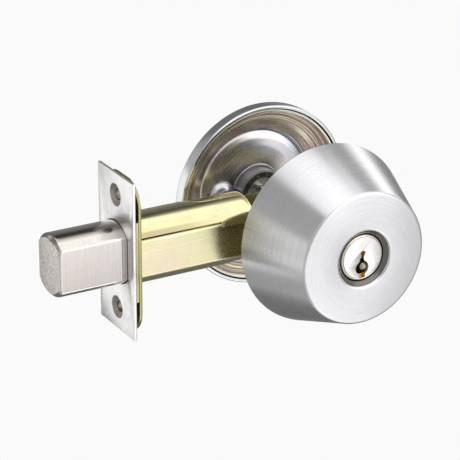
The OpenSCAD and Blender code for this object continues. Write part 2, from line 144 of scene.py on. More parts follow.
def arc(cx, cy, r, a0, a1, n=6):
    """Points on an arc, angles in degrees."""
    out = []
    for i in range(n + 1):
        a = math.radians(a0 + (a1 - a0) * i / n)
        out.append((cx + r * math.cos(a), cy + r * math.sin(a)))
    return out


def rounded(points, radii, n=5):
    """A closed outline with each corner rounded by its own radius."""
    out = []
    count = len(points)
    for i, (p, r) in enumerate(zip(points, radii)):
        p = Vector(p)
        a = Vector(points[i - 1]) - p
        b = Vector(points[(i + 1) % count]) - p
        if r <= 0:
            out.append(tuple(p))
            continue
        la, lb = a.length, b.length
        a.normalize()
        b.normalize()
        half = math.acos(max(-1, min(1, a.dot(b)))) / 2
        cut = min(r / math.tan(half), 0.49 * la, 0.49 * lb)
        rr = cut * math.tan(half)
        centre = p + (a + b).normalized() * (rr / math.sin(half))
        s, e = p + a * cut - centre, p + b * cut - centre
        a0 = math.atan2(s.y, s.x)
        a1 = math.atan2(e.y, e.x)
        d = (a1 - a0 + math.pi) % TAU - math.pi
        for k in range(n + 1):
            t = a0 + d * k / n
            out.append((centre.x + rr * math.cos(t), centre.y + rr * math.sin(t)))
    return out


def lathe(name, profile, segments=224, centre=(0, 0)):
    """Turns a closed (radius, y) outline round an axis along Y through centre (x, z)."""
    cx, cz = centre
    verts, faces = [], []
    n = len(profile)
    for i in range(segments):
        a = TAU * i / segments
        c, s = math.cos(a), math.sin(a)
        for r, y in profile:
            verts.append((cx + r * c, y, cz + r * s))
    for i in range(segments):
        j = (i + 1) % segments
        for k in range(n):
            m = (k + 1) % n
            faces.append((i * n + k, i * n + m, j * n + m, j * n + k))
    return new_mesh(name, verts, faces)


def loft(name, sections):
    """Skins a list of closed 3-D outlines that all have the same number of points."""
    n = len(sections[0])
    verts = [p for s in sections for p in s]
    faces = []
    for i in range(len(sections) - 1):
        for k in range(n):
            m = (k + 1) % n
            faces.append((i * n + k, i * n + m, (i + 1) * n + m, (i + 1) * n + k))
    faces.append(tuple(range(n))[::-1])
    faces.append(tuple((len(sections) - 1) * n + k for k in range(n)))
    return new_mesh(name, verts, faces)


def prism(name, outline, low, high, axis):
    """Extrudes a 2-D outline along X or Y. Outlines are (y, z) for X and (x, z) for Y."""
    sections = []
    for t in (low, high):
        if axis == "X":
            sections.append([(t, a, b) for a, b in outline])
        else:
            sections.append([(a, t, b) for a, b in outline])
    return loft(name, sections)


def block(name, lo, hi):
    (x0, y0, z0), (x1, y1, z1) = lo, hi
    return prism(name, [(y0, z0), (y1, z0), (y1, z1), (y0, z1)], x0, x1, "X")


def rod(name, centre, radius, low, high, axis, radius2=None, segments=64):
    """A round bar or cone along X or Y."""
    r2 = radius if radius2 is None else radius2
    sections = []
    for t, r in ((low, radius), (high, r2)):
        ring = []
        for i in range(segments):
            a = TAU * i / segments
            u, v = centre[0] + r * math.cos(a), centre[1] + r * math.sin(a)
            ring.append((t, u, v) if axis == "X" else (u, t, v))
        sections.append(ring)
    return loft(name, sections)


# ---------------------------------------------------------------- node helpers


class Nodes:
    """Short calls for building a material."""

    def __init__(self, name):
        self.mat = bpy.data.materials.new(name)
        self.mat.use_nodes = True
        self.tree = self.mat.node_tree
        self.tree.nodes.clear()
        self.out = self.add("ShaderNodeOutputMaterial")
        self.bsdf = self.add("ShaderNodeBsdfPrincipled")
        self.link(self.bsdf.outputs[0], self.out.inputs["Surface"])
        self.coord = self.add("ShaderNodeTexCoord").outputs["Object"]

    def add(self, kind, **values):
        node = self.tree.nodes.new(kind)
        for key, value in values.items():
            setattr(node, key, value)
        return node

    def link(self, a, b):
        self.tree.links.new(a, b)

    def put(self, socket, value):
        if isinstance(value, bpy.types.NodeSocket):
            self.link(value, socket)
        else:
            socket.default_value = value

    def math(self, op, a, b=0.0, c=0.0, clamp=False):
        n = self.add("ShaderNodeMath", operation=op, use_clamp=clamp)
        for i, v in enumerate((a, b, c)):
            self.put(n.inputs[i], v)
        return n.outputs[0]

    def xyz(self):
        n = self.add("ShaderNodeSeparateXYZ")
        self.link(self.coord, n.inputs[0])
        return n.outputs

    def polar(self):
        """Distance from the Y axis, and angle round it."""
        x, _, z = self.xyz()
        square = self.math("ADD", self.math("MULTIPLY", x, x), self.math("MULTIPLY", z, z))
        return self.math("SQRT", square), self.math("ARCTAN2", z, x)

    def ring_noise(self, radial, along, around, detail, rough=0.6, seed=0.0):
        """Noise drawn out into rings, with a scale each for radius, Y and angle."""
        radius, angle = self.polar()
        spot = self.combine(
            self.math("MULTIPLY", radius, radial),
            self.math("MULTIPLY_ADD", self.xyz()[1], along, seed),
            self.math("MULTIPLY", angle, around),
        )
        return self.noise(spot, 1.0, detail, rough)

    def combine(self, x, y, z):
        n = self.add("ShaderNodeCombineXYZ")
        for i, v in enumerate((x, y, z)):
            self.put(n.inputs[i], v)
        return n.outputs[0]

    def mapped(self, scale=(1, 1, 1), turn=(0, 0, 0), shift=(0, 0, 0), source=None):
        n = self.add("ShaderNodeMapping")
        self.link(source or self.coord, n.inputs["Vector"])
        n.inputs["Scale"].default_value = scale
        n.inputs["Rotation"].default_value = [math.radians(a) for a in turn]
        n.inputs["Location"].default_value = shift
        return n.outputs[0]

    def noise(self, vector, scale, detail=3, rough=0.5, distort=0.0):
        n = self.add("ShaderNodeTexNoise")
        self.link(vector, n.inputs["Vector"])
        n.inputs["Scale"].default_value = scale
        n.inputs["Detail"].default_value = detail
        n.inputs["Roughness"].default_value = rough
        n.inputs["Distortion"].default_value = distort
        return n.outputs[0]

    def ramp(self, fac, stops):
        n = self.add("ShaderNodeValToRGB")
        self.link(fac, n.inputs[0])
        e = n.color_ramp.elements
        while len(e) < len(stops):
            e.new(0.5)
        for el, (pos, col) in zip(e, stops):
            el.position = pos
            el.color = (*col, 1) if len(col) == 3 else col
        return n.outputs[0]

    def remap(self, value, a, b, c, d):
        n = self.add("ShaderNodeMapRange")
        self.link(value, n.inputs["Value"])
        for key, v in zip(("From Min", "From Max", "To Min", "To Max"), (a, b, c, d)):
            n.inputs[key].default_value = v
        return n.outputs[0]

    def mix(self, fac, a, b, blend="MIX"):
        n = self.add("ShaderNodeMix", data_type="RGBA", blend_type=blend)
        self.put(n.inputs["Factor"], fac)
        for key, v in (("A", a), ("B", b)):
            s = [i for i in n.inputs if i.name == key and i.type == "RGBA"][0]
            self.put(s, (*v, 1) if isinstance(v, tuple) and len(v) == 3 else v)
        return [o for o in n.outputs if o.type == "RGBA"][0]

    def bump(self, height, strength, distance=0.0001, normal=None):
        n = self.add("ShaderNodeBump")
        self.link(height, n.inputs["Height"])
        n.inputs["Strength"].default_value = strength
        n.inputs["Distance"].default_value = distance
        if normal is not None:
            self.link(normal, n.inputs["Normal"])
        return n.outputs[0]

    def set(self, **values):
        names = {
            "color": "Base Color",
            "metal": "Metallic",
            "rough": "Roughness",
            "normal": "Normal",
            "aniso": "Anisotropic",
            "turn": "Anisotropic Rotation",
            "tangent": "Tangent",
        }
        for key, v in values.items():
            v = (*v, 1) if isinstance(v, tuple) and len(v) == 3 else v
            self.put(self.bsdf.inputs[names[key]], v)
        return self.mat


# ---------------------------------------------------------------- materials


def dim(tint, factor):
    return tuple(c * factor for c in tint)


def ring_brushed(name, tint=(0.80, 0.80, 0.815), rough=0.25, aniso=0.88, seed=0.0):
    """Satin metal brushed in rings round the Y axis."""
    n = Nodes(name)
    fine = n.ring_noise(5200, 5200, 2.2, 2, 0.6, seed)
    mid = n.ring_noise(1500, 1500, 1.1, 3, 0.65, seed + 7)
    patch = n.noise(n.mapped(shift=(seed, 0, 0)), 45, 3, 0.55)
    uneven = n.remap(patch, 0.3, 0.7, -0.015, 0.02)
    rough_v = n.math("ADD", n.remap(mid, 0.3, 0.7, rough - 0.02, rough + 0.03), uneven)
    col = n.mix(n.remap(fine, 0.35, 0.65, 0.0, 1.0), dim(tint, 0.92), tint)
    col = n.mix(n.remap(patch, 0.35, 0.7, 0.0, 0.16), col, dim(tint, 0.93))
    tangent = n.add("ShaderNodeTangent", direction_type="RADIAL", axis="Y").outputs[0]
    height = n.math("ADD", n.math("MULTIPLY", fine, 0.6), n.math("MULTIPLY", mid, 0.4))
    n.set(aniso=aniso, turn=0.25, tangent=tangent, normal=n.bump(height, 0.05, 0.00006))
    return n.set(color=col, metal=1.0, rough=rough_v)


def screw_cup(n, radius):
    """Mask that is 1 inside the given radius of the two faceplate screws."""
    _, y, z = n.xyz()
    soft = 0.1 * MM
    up = n.math("SUBTRACT", n.math("ABSOLUTE", z), SCREW_Z)
    reach = n.math("SQRT", n.math("ADD", n.math("MULTIPLY", y, y), n.math("MULTIPLY", up, up)))
    return n.remap(reach, radius - soft, radius + soft, 1.0, 0.0)


def dichromate(name, tones, rough=0.26, seed=0.0, dirt=0.35, along="X", flange=False, cups=False):
    """Yellow zinc plating: drifting gold, pink and green tones, faint drawing lines and stains."""
    n = Nodes(name)
    base = n.mapped(scale=(0.55, 1, 1), shift=(seed, seed * 0.7, 0))
    drift = n.noise(base, 62, 4, 0.55, 0.6)
    col = n.ramp(drift, list(zip((0.30, 0.45, 0.56, 0.70), tones)))
    stretch = {"X": (40, 2600, 2600), "Z": (2600, 2600, 40)}[along]
    lines = n.noise(n.mapped(scale=stretch, shift=(seed, 0, 0)), 1.0, 3, 0.6)
    stain = n.noise(n.mapped(shift=(0, seed, 3)), 150, 5, 0.65)
    col = n.mix(n.remap(lines, 0.35, 0.65, 0.0, 0.22), col, dim(tones[1], 0.72))
    col = n.mix(n.remap(stain, 0.52, 0.74, 0.0, dirt), col, dim(tones[2], 0.55))
    if cups:
        col = n.mix(screw_cup(n, 2.6 * MM), col, CUP_BROWN)
    if flange:
        # painted reflection: the folded edge below the crease is painted pinker than the roof, up to
        # the sleeve, for the ledge it mirrors
        x, y, z = n.xyz()
        lean = n.math("ARCTAN2", n.math("ABSOLUTE", y), z)
        fold = (math.radians(CREASE_DEG - 0.5), math.radians(CREASE_DEG + 1.5))
        fold_reflection = n.remap(lean, *fold, 0.0, 0.85)
        fold_reflection = n.math("MULTIPLY", fold_reflection, n.remap(x, -52 * MM, -36 * MM, 1.0, 0.0))
        pink = n.mix(n.remap(drift, 0.35, 0.65, 0.0, 1.0), *FOLD_REFLECTION_PINKS)
        col = n.mix(fold_reflection, col, pink)
    streaks = n.remap(lines, 0.3, 0.7, -0.03, 0.03)
    rough_v = n.math("ADD", n.remap(stain, 0.3, 0.7, rough - 0.03, rough + 0.06), streaks)
    pits = n.noise(n.mapped(), 1500, 2, 0.5)
    height = n.math("ADD", n.math("MULTIPLY", lines, 0.7), n.math("MULTIPLY", pits, 0.3))
    return n.set(color=col, metal=1.0, rough=rough_v, normal=n.bump(height, 0.10, 0.00006))


def plain_metal(name, tint, rough=0.3, seed=0.0, grain=900, grain_depth=0.12, spots=0.3):
    """Machined or cast metal with small grain, stains and patches of wear."""
    n = Nodes(name)
    body = n.noise(n.mapped(shift=(seed, 0, seed)), grain, 3, 0.6)
    patch = n.noise(n.mapped(shift=(seed, seed, 0)), 120, 4, 0.6)
    col = n.mix(n.remap(body, 0.35, 0.65, 0.0, 1.0), dim(tint, 0.84), tint)
    col = n.mix(n.remap(patch, 0.5, 0.75, 0.0, spots), col, dim(tint, 0.62))
    wear = n.remap(patch, 0.3, 0.7, -0.03, 0.07)
    rough_v = n.math("ADD", n.remap(body, 0.3, 0.7, rough - 0.04, rough + 0.05), wear)
    normal = n.bump(body, grain_depth, 0.00005)
    return n.set(color=col, metal=1.0, rough=rough_v, normal=normal)


def scratched_plate(name, tint, rough=0.25):
    """Satin sheet with fine scratches in two directions; the countersinks are dull and brownish."""
    n = Nodes(name)
    a = n.noise(n.mapped(scale=(300, 4200, 150), turn=(38, 0, 0)), 1.0, 2, 0.6)
    b = n.noise(n.mapped(scale=(300, 130, 3800), turn=(-14, 0, 0)), 1.0, 2, 0.6)
    cloud = n.noise(n.mapped(), 260, 5, 0.7)
    line = n.math("MAXIMUM", n.remap(a, 0.50, 0.72, 0.0, 1.0), n.remap(b, 0.54, 0.74, 0.0, 0.8))
    col = n.mix(line, tint, dim(tint, 0.86))
    col = n.mix(n.remap(cloud, 0.45, 0.7, 0.0, 0.30), col, dim(tint, 0.86))
    cup = screw_cup(n, 4.0 * MM)
    col = n.mix(cup, col, n.mix(n.remap(cloud, 0.4, 0.6, 0.0, 1.0), *CUP_WORN))
    haze = n.remap(cloud, 0.3, 0.7, rough - 0.05, rough + 0.10)
    rough_v = n.math("ADD", haze, n.math("MULTIPLY", line, 0.08))
    rough_v = n.math("ADD", rough_v, n.math("MULTIPLY", cup, 0.16))
    return n.set(color=col, metal=1.0, rough=rough_v, normal=n.bump(line, 0.08, 0.00004))


def bolt_metal(name):
    """Plated bolt: speckled round, brushed flats and a coarse granular tip face."""
    n = Nodes(name)
    geo = n.add("ShaderNodeNewGeometry")
    sep = n.add("ShaderNodeSeparateXYZ")
    n.link(geo.outputs["Normal"], sep.inputs[0])
    tip = n.remap(n.math("ABSOLUTE", sep.outputs[0]), 0.90, 0.99, 0.0, 1.0)
    flat = n.remap(n.math("ABSOLUTE", sep.outputs[1]), 0.985, 0.999, 0.0, 1.0)
    peel = n.noise(n.mapped(), 1900, 3, 0.6)
    peel2 = n.noise(n.mapped(shift=(2, 0, 1)), 650, 2, 0.5)
    brush = n.noise(n.mapped(scale=(1800, 1800, 60)), 1.0, 3, 0.6)
    grit = n.add("ShaderNodeTexVoronoi", feature="F1")
    n.link(n.coord, grit.inputs["Vector"])
    grit.inputs["Scale"].default_value = 1250
    grit_fine = n.noise(n.mapped(), 2600, 3, 0.7)
    grit_size = grit.outputs["Distance"]
    tint = (0.76, 0.725, 0.69)
    col = n.mix(n.remap(peel, 0.3, 0.7, 0.0, 1.0), (0.70, 0.66, 0.61), (0.80, 0.765, 0.72))
    side = n.mix(n.remap(brush, 0.3, 0.7, 0, 1), (0.63, 0.585, 0.56), (0.70, 0.66, 0.635))
    # painted shade: the milled flats are painted darker towards their lower edge
    _, y, z = n.xyz()
    side = n.mix(n.remap(z, -7 * MM, 7 * MM, 0.34, 0.0), side, (0.30, 0.28, 0.265))
    # painted shade: a dark strip is painted along the crown, on the key side of the top
    crown = n.math("ARCTAN2", n.math("MULTIPLY", y, -1.0), z)
    rise = n.remap(crown, math.radians(3), math.radians(12), 0.0, 1.0)
    fall = n.remap(crown, math.radians(22), math.radians(30), 1.0, 0.0)
    crown_shade = n.math("MULTIPLY", rise, fall)
    col = n.mix(n.math("MULTIPLY", crown_shade, 0.72), col, (0.24, 0.215, 0.185))
    col = n.mix(flat, col, side)
    pale = n.mix(n.remap(grit_size, 0.0, 0.7, 0, 1), (0.38, 0.35, 0.325), (0.68, 0.635, 0.59))
    col = n.mix(tip, col, pale)
    stain = n.noise(n.mapped(shift=(7, 3, 0)), 160, 5, 0.65)
    col = n.mix(n.remap(stain, 0.55, 0.8, 0.0, 0.3), col, dim(tint, 0.62))
    rough_v = n.math("ADD", n.remap(peel2, 0.3, 0.7, 0.10, 0.16), n.math("MULTIPLY", flat, 0.12))
    rough_v = n.math("ADD", rough_v, n.math("MULTIPLY", tip, 0.24))
    skin = n.math("ADD", n.math("MULTIPLY", peel, 0.5), n.math("MULTIPLY", peel2, 0.5))
    grit_h = n.math("ADD", n.math("MULTIPLY", grit_size, 1.1), n.math("MULTIPLY", grit_fine, 0.8))
    tip_h = n.math("MULTIPLY", n.math("MULTIPLY", grit_h, tip), 0.9)
    height = n.math("ADD", n.math("MULTIPLY", skin, 0.22), tip_h)
    return n.set(color=col, metal=1.0, rough=rough_v, normal=n.bump(height, 0.55, 0.00012))


def plug_metal(name, tint, inside, face_y):
    """Satin nickel face; the key opening below it shows bare brass."""
    n = Nodes(name)
    body = n.noise(n.mapped(scale=(1, 0.2, 1)), 1500, 3, 0.6)
    patch = n.noise(n.mapped(shift=(2, 2, 0)), 130, 4, 0.6)
    col = n.mix(n.remap(body, 0.35, 0.65, 0.0, 1.0), dim(tint, 0.93), tint)
    bare = n.mix(n.remap(patch, 0.4, 0.6, 0.0, 1.0), inside, dim(inside, 0.8))
    y = n.xyz()[1]
    col = n.mix(n.remap(y, face_y + 0.15 * MM, face_y + 0.5 * MM, 0.0, 1.0), col, bare)
    rough_v = n.remap(body, 0.3, 0.7, 0.26, 0.34)
    return n.set(color=col, metal=1.0, rough=rough_v, normal=n.bump(body, 0.08, 0.00005))


def rose_ring(name):
    """Taupe dichromate ring with concentric tones."""
    n = Nodes(name)
    ring = n.ring_noise(420, 160, 0.35, 3)
    fine = n.ring_noise(3600, 1600, 1.2, 2)
    drift = n.noise(n.mapped(), 55, 3, 0.6)
    tone = n.math("ADD", n.math("MULTIPLY", ring, 0.7), n.math("MULTIPLY", drift, 0.3))
    col = n.ramp(tone, list(zip((0.34, 0.46, 0.54, 0.66), TAUPE)))
    # the bare outer rim
    rim = n.remap(n.polar()[0], 30.5 * MM, 31.2 * MM, 0.0, 1.0)
    col = n.mix(rim, col, (0.80, 0.78, 0.68))
    col = n.mix(n.remap(fine, 0.35, 0.65, 0.0, 0.35), col, (0.32, 0.27, 0.24))
    rough_v = n.remap(fine, 0.3, 0.7, 0.16, 0.24)
    return n.set(color=col, metal=1.0, rough=rough_v, normal=n.bump(fine, 0.12, 0.00006))


def dish_metal(name):
    """Semi bright zinc with faint oil-film tints and concentric turning lines."""
    n = Nodes(name)
    fine = n.ring_noise(2600, 2600, 1.5, 3)
    film = n.noise(n.mapped(), 70, 3, 0.6, 0.8)
    col = n.ramp(film, list(zip((0.30, 0.45, 0.55, 0.64, 0.74), OIL_FILM)))
    col = n.mix(n.remap(fine, 0.35, 0.65, 0.0, 0.25), col, (0.48, 0.47, 0.48))
    # painted shade: the hub tube, deep in the dish, is painted darker than the spun floor
    hub_shade = n.remap(n.polar()[0], 9.6 * MM, 12.5 * MM, 0.75, 0.0)
    col = n.mix(hub_shade, col, (0.17, 0.165, 0.17))
    lines = n.remap(fine, 0.3, 0.7, -0.02, 0.03)
    rough_v = n.math("ADD", n.remap(film, 0.3, 0.7, 0.22, 0.28), lines)
    return n.set(color=col, metal=1.0, rough=rough_v, normal=n.bump(fine, 0.08, 0.00006))


def moulded_black(name):
    n = Nodes(name)
    body = n.noise(n.mapped(), 1400, 3, 0.6)
    patch = n.noise(n.mapped(shift=(1, 2, 0)), 260, 4, 0.6)
    fade = n.remap(patch, 0.35, 0.7, 0.0, 1.0)
    col = n.mix(fade, (0.012, 0.012, 0.013), (0.035, 0.034, 0.033))
    rough_v = n.remap(body, 0.3, 0.7, 0.30, 0.46)
    return n.set(color=col, metal=0.0, rough=rough_v, normal=n.bump(body, 0.2, 0.00005))


GOLD = [(0.77, 0.72, 0.35), (0.83, 0.78, 0.42), (0.87, 0.81, 0.50), (0.85, 0.72, 0.48)]
PALE_GOLD = [(0.76, 0.71, 0.42), (0.81, 0.76, 0.47), (0.84, 0.76, 0.53), (0.83, 0.71, 0.53)]
EDGE_GOLD = [(0.36, 0.33, 0.15), (0.43, 0.40, 0.20), (0.47, 0.43, 0.24), (0.40, 0.34, 0.19)]
OLIVE = [(0.40, 0.38, 0.16), (0.50, 0.47, 0.22), (0.55, 0.51, 0.27), (0.46, 0.40, 0.20)]
DULL_GOLD = [(0.30, 0.27, 0.13), (0.36, 0.33, 0.17), (0.38, 0.33, 0.20), (0.34, 0.28, 0.19)]
TAUPE = [(0.40, 0.33, 0.30), (0.52, 0.44, 0.39), (0.55, 0.49, 0.36), (0.50, 0.41, 0.42)]
OIL_FILM = [
    (0.64, 0.66, 0.71),
    (0.69, 0.69, 0.75),
    (0.72, 0.71, 0.72),
    (0.69, 0.68, 0.61),
    (0.72, 0.64, 0.69),
]
CUP_BROWN = (0.24, 0.215, 0.19)
CUP_WORN = [(0.50, 0.44, 0.38), (0.36, 0.33, 0.31)]
FOLD_REFLECTION_PINKS = [(0.52, 0.42, 0.25), (0.60, 0.51, 0.36)]
TURNED_BRASS = (0.80, 0.62, 0.30)

MATS = {
    "housing": ring_brushed("housing_satin_chrome", seed=1.0),
    "rose": ring_brushed("rose_satin_chrome", (0.76, 0.76, 0.77), 0.15, seed=5.0),
    "turn": ring_brushed("thumbturn_satin_chrome", (0.80, 0.80, 0.81), 0.17, 0.2, 9.0),
    "collar": ring_brushed("collar_satin", (0.21, 0.20, 0.195), 0.20, 0.2, 3.0),
    "plug": plug_metal(
        "plug_satin_nickel", (0.90, 0.89, 0.875), (0.80, 0.60, 0.27), BOX["key_plug"][0].y
    ),
    "cylinder": plain_metal("cylinder_machined_brass", TURNED_BRASS, 0.26, 4.0, 1500, 0.1, 0.3),
    "brass": plain_metal("pin_brass_turned", TURNED_BRASS, 0.24, 6.0, 1500, 0.1, 0.2),
    "steel": plain_metal("machined_steel", (0.66, 0.655, 0.65), 0.27, 8.0, 1200, 0.12, 0.3),
    "dark_steel": plain_metal("hardened_steel", (0.46, 0.455, 0.45), 0.25, 10.0, 1300, 0.1, 0.3),
    "spring": plain_metal("spring_wire", (0.56, 0.56, 0.57), 0.25, 11.0, 1300, 0.1, 0.3),
    "cast": plain_metal("cast_hub", (0.58, 0.56, 0.53), 0.36, 12.0, 700, 0.25, 0.35),
    "stainless": scratched_plate("faceplate_satin_stainless", (0.87, 0.862, 0.85), 0.30),
    # the tube's roof gets the painted reflection band along its fold
    "tube": dichromate("tube_dichromate", GOLD, 0.12, 1.0, 0.25, flange=True),
    "sleeve": dichromate("sleeve_dichromate", GOLD, 0.12, 1.0, 0.25),
    "channel": dichromate("channel_dichromate", PALE_GOLD, 0.25, 4.2, 0.2),
    "backing": dichromate("backing_dichromate", EDGE_GOLD, 0.26, 6.1, 0.3, "Z", cups=True),
    "block": dichromate("block_dichromate", OLIVE, 0.30, 7.3, 0.4, "Z"),
    "tail": dichromate("tail_dichromate", GOLD, 0.30, 8.8, 0.4),
    "plate": dichromate("support_dichromate", DULL_GOLD, 0.32, 9.5, 0.4, "Z"),
    "ring": rose_ring("rose_ring_taupe"),
    "dish": dish_metal("dish_zinc"),
    "black": moulded_black("bush_black"),
    "bolt": bolt_metal("bolt_plated"),
}


def place(obj, node, mat, angle=32):
    """Smooth shade, paint, ride on the node's body and stand for it."""
    smooth(obj, angle)
    obj.data.materials.clear()
    obj.data.materials.append(MATS[mat])
    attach(obj, BODY_OF[node])
    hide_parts(node)
    return obj


# ---------------------------------------------------------------- key side

HOUS_LO, HOUS_HI = BOX["cylinder_housing"]
HOUS_R0 = HOUS_HI.x
HOUS_R1 = 23.6 * MM
Y_REAR = HOUS_HI.y
Y_FRONT = HOUS_LO.y
SEAT_Y = Y_FRONT + 3.4 * MM
COLLAR_R = BOX["cylinder_collar"][1].x
COLLAR_BORE = 8.25 * MM
WALL = 2.2 * MM
CROWN = 0.40 * MM


def build_housing():
    bore = COLLAR_R + 0.12 * MM
    outline = [
        # radius, y, corner radius in mm
        (HOUS_R0 - 1.1 * MM, Y_REAR, 0),
        (HOUS_R0, Y_REAR, 0.45),
        (HOUS_R1, Y_FRONT + CROWN, 1.3),
        (16 * MM, Y_FRONT + 0.25 * CROWN, 60),
        (bore, Y_FRONT, 1.0),
        (bore, SEAT_Y, 0),
        (HOUS_R1 - WALL - 0.8 * MM, SEAT_Y, 2),
        (HOUS_R0 - WALL, Y_REAR - 1.5 * MM, 0),
        (HOUS_R0 - WALL, Y_REAR, 0.2),
    ]
    profile = rounded([(r, y) for r, y, _ in outline], [c * MM for *_, c in outline], 8)
    return lathe("housing_shell", profile, 288)


place(build_housing(), "cylinder_housing", "housing")


def build_collar():
    front = Y_FRONT + 0.70 * MM
    shoulder = 0.25 * MM
    pts = [(COLLAR_BORE, SEAT_Y), (COLLAR_R, SEAT_Y), (COLLAR_R, front)]
    pts += [(COLLAR_R - shoulder, front + 0.12 * MM)]
    # the hollow face between the outer edge and the bore
    pts += arc(COLLAR_R + 0.2 * MM, front + 1.85 * MM, 1.55 * MM, 250, 180, 10)[1:]
    pts += [(COLLAR_BORE, Y_FRONT + 2.2 * MM)]
    return lathe("guard_ring", pts, 192)


place(build_collar(), "cylinder_collar", "collar")

# plug and the bright rim round it
PLUG_R = BOX["key_plug"][1].x
PLUG_Y = BOX["key_plug"][0].y
RIM_R = 8.15 * MM


def keyway_outline():
    """Key opening seen from the key side, as (x, z) points."""
    # a round top hole, a neck, a round middle slot and a wide foot, in mm
    top_z, slot_z, slot_r = 1.55, -3.7, 2.55
    pts = arc(0.25, top_z, 0.95, -62, 200, 18)
    pts += [(-0.35, 0.9), (-0.50, 0.1), (-0.95, -0.35), (-1.0, -0.9)]
    pts += arc(0.0, slot_z, slot_r, 114, 238, 20)
    pts += [(-1.25, -6.1), (-1.15, -6.6), (-1.35, -7.0), (-1.3, -9.0)]
    pts += [(1.15, -9.0), (1.15, -6.9), (1.3, -6.2)]
    pts += arc(0.0, slot_z, slot_r, 300, 428, 22)
    pts += [(0.85, -0.9), (0.55, -0.5), (0.62, 0.3)]
    return [(x * MM, z * MM) for x, z in pts]


def build_plug():
    rear = BOX["key_plug"][1].y
    barrel_r = 6.35 * MM
    head = PLUG_Y + 1.5 * MM
    edge = 0.22 * MM
    count = 160
    stations = []
    for a in (0, 0.4, 0.8, 1.2, TAU / 4):
        stations.append((PLUG_R - edge + edge * math.sin(a), PLUG_Y + edge - edge * math.cos(a)))
    stations += [(PLUG_R, head), (barrel_r, head + 0.01 * MM), (barrel_r, rear)]
    turns = [TAU * i / count for i in range(count)]
    sections = [[(r * math.cos(a), y, r * math.sin(a)) for a in turns] for r, y in stations]
    plug = loft("key_plug_body", sections)
    cutter = prism("keyway_cutter", keyway_outline(), PLUG_Y - 1 * MM, rear - 4 * MM, "Y")
    return boolean(plug, cutter)


plug = build_plug()
bevel(plug, 0.07 * MM, 2, 40)
place(plug, "key_plug", "plug", 28)


def build_cylinder():
    rear = BOX["cylinder_body"][1].y
    top = BOX["cylinder_body"][1].z
    half = 3.7 * MM
    front = PLUG_Y + 0.02 * MM
    bore = PLUG_R + 0.06 * MM
    flange = COLLAR_R + 1.6 * MM
    pts = rounded(
        [
            (bore, front + 0.25 * MM),
            (bore + 0.18 * MM, front),
            (RIM_R, front + 0.38 * MM),
            (RIM_R, Y_FRONT + 3.5 * MM),
            (flange, Y_FRONT + 3.5 * MM),
            (flange, Y_FRONT + 6 * MM),
            (RIM_R, Y_FRONT + 6 * MM),
            (RIM_R, rear),
            (6.42 * MM, rear),
            (6.42 * MM, PLUG_Y + 1.6 * MM),
            (bore, PLUG_Y + 1.6 * MM),
        ],
        [0, 0.05 * MM, 0.1 * MM, 0, 0.2 * MM, 0.2 * MM, 0, 0.2 * MM, 0, 0, 0],
        4,
    )
    barrel = lathe("barrel", pts, 192)
    box_lo = (-half, Y_FRONT + 6.6 * MM, 7.2 * MM)
    bible = bevel(block("bible", box_lo, (half, rear, top)), 0.3 * MM, 2)
    return join("cylinder_shell", [barrel, bible])


place(build_cylinder(), "cylinder_body", "plug")


# ---------------------------------------------------------------- bolt and front

FACE_LO, FACE_HI = BOX["faceplate"]
BOLT_LO, BOLT_HI = BOX["bolt"]
BOLT_R = BOLT_HI.z
X_FACE = FACE_LO.x
X_TIP = BOLT_LO.x
FLAT_ROOT = BOLT_HI.y
FLAT_CUT = 7.9 * MM


def soft_min(a, b, k):
    m = min(a, b)
    return m - k * math.log(math.exp(-(a - m) / k) + math.exp(-(b - m) / k))


def double_d(radius, flat, x, edge=0.20 * MM, count=288):
    """Outline of a round bar with two side flats, edges softly rounded."""
    pts = []
    for i in range(count):
        a = TAU * i / count
        reach = flat / max(abs(math.cos(a)), 1e-4)
        r = soft_min(radius, min(reach, radius * 4), edge)
        pts.append((x, r * math.cos(a), r * math.sin(a)))
    return pts


def build_bolt():
    cut_end = X_FACE - 1.7 * MM
    back = BOLT_HI.x
    dome = 0.35 * MM
    chamfer = 1.15 * MM
    flat_chamfer = 0.45 * MM
    run_out = 0.5 * MM
    full_x = X_TIP + 1.75 * MM
    base_r = BOLT_R - chamfer
    base_f = FLAT_CUT - flat_chamfer
    sections = []
    # the tip face is slightly domed at its edge, then a bevel runs into the round
    for t in (0.0, 0.2, 0.4, 0.6, 0.8, 1.0):
        a = math.radians(90 * t)
        x = X_TIP + dome * (1 - math.sin(math.radians(90) - a))
        inset = dome - dome * math.sin(a)
        sections.append(double_d(base_r - inset, base_f - inset, x))
    for t in (0.15, 0.5, 0.85):
        flat = base_f + min(1.0, t * 1.4) * flat_chamfer
        sections.append(double_d(base_r + t * chamfer, flat, X_TIP + dome + t * MM))
    sections.append(double_d(BOLT_R - 0.03 * MM, FLAT_CUT, X_TIP + 1.48 * MM))
    sections.append(double_d(BOLT_R, FLAT_CUT, full_x))
    n_long = 14
    for i in range(1, n_long + 1):
        x = full_x + (cut_end - run_out - full_x) * i / n_long
        sections.append(double_d(BOLT_R, FLAT_CUT, x))
    # the milled flats run out on a small cutter radius
    for t in (0.1, 0.25, 0.4, 0.55, 0.7, 0.85, 1.0):
        f = FLAT_CUT + (FLAT_ROOT - FLAT_CUT) * (1 - math.sqrt(max(0.0, 1 - t * t)))
        sections.append(double_d(BOLT_R, f, cut_end - run_out + run_out * t))
    for x in (X_FACE, back - 0.8 * MM):
        sections.append(double_d(BOLT_R, FLAT_ROOT, x))
    sections.append(double_d(BOLT_R - 0.5 * MM, FLAT_ROOT - 0.3 * MM, back))
    return loft("bolt_bar", sections)


place(build_bolt(), "bolt", "bolt", 24)


def d_hole(x0, x1):
    """Cutter for the bolt's way through a plate, a little larger than the bolt."""
    clear = 0.3 * MM
    section = double_d(BOLT_R + clear, FLAT_ROOT + clear, 0, 0.05 * MM, 200)
    return prism("hole_cutter", [(y, z) for _, y, z in section], x0, x1, "X")


